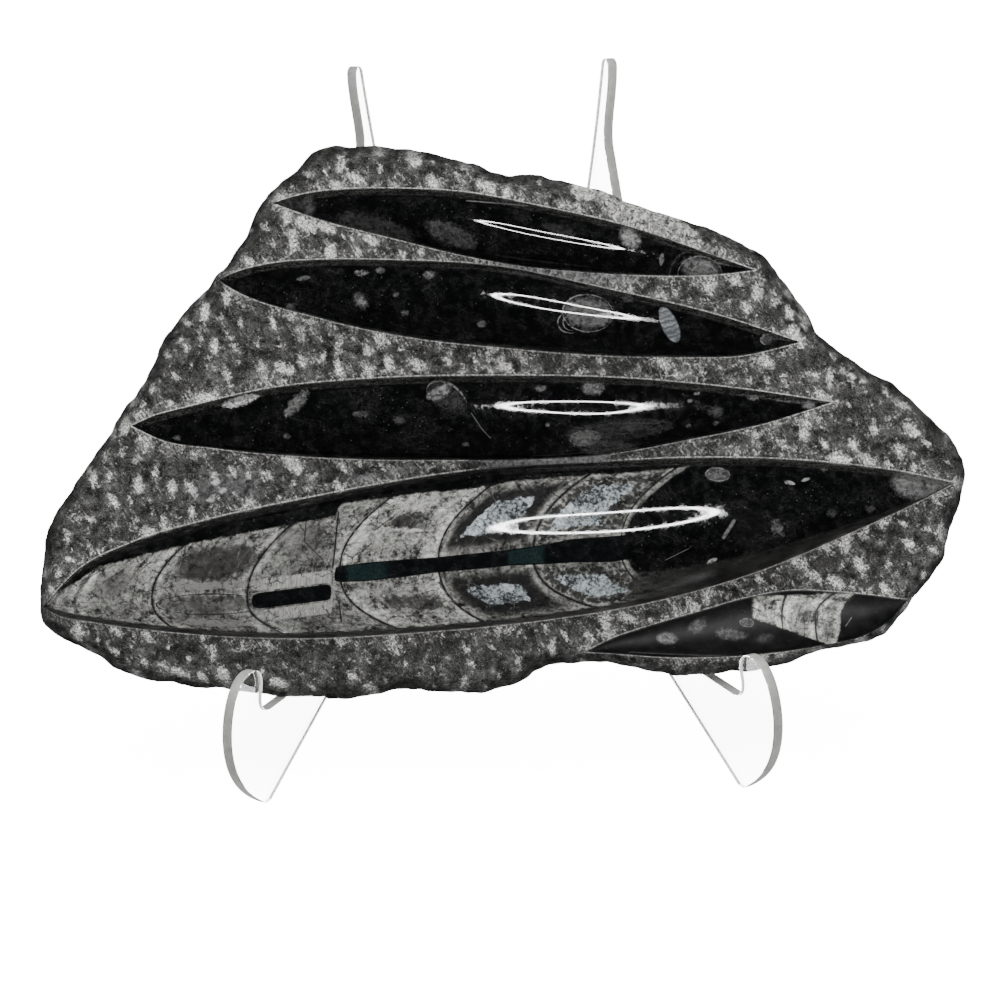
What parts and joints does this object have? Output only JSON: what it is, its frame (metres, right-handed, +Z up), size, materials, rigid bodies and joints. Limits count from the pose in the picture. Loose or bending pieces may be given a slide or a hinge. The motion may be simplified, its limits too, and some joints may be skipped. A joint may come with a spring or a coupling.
{
  "type": "orthoceras fossil slab on an easel",
  "caption": "Broken-edged black limestone slab carved with polished orthoceras fossils in relief, leaning in a folded clear acrylic easel.",
  "frame": {"origin": "middle of the bounding box on the table, under the slab", "axes": "+X to the right along the slab's length, +Z up, the carved face looks towards -Y and slightly up"},
  "size_m": [0.263, 0.1522, 0.1959],
  "materials": {
    "black_limestone": "polished forms on a tooled matte ground",
    "clear_acrylic": "gloss"
  },
  "bodies": {
    "root": {"fossil_slab": "black_limestone", "easel": "clear_acrylic"}
  },
  "joints": []
}
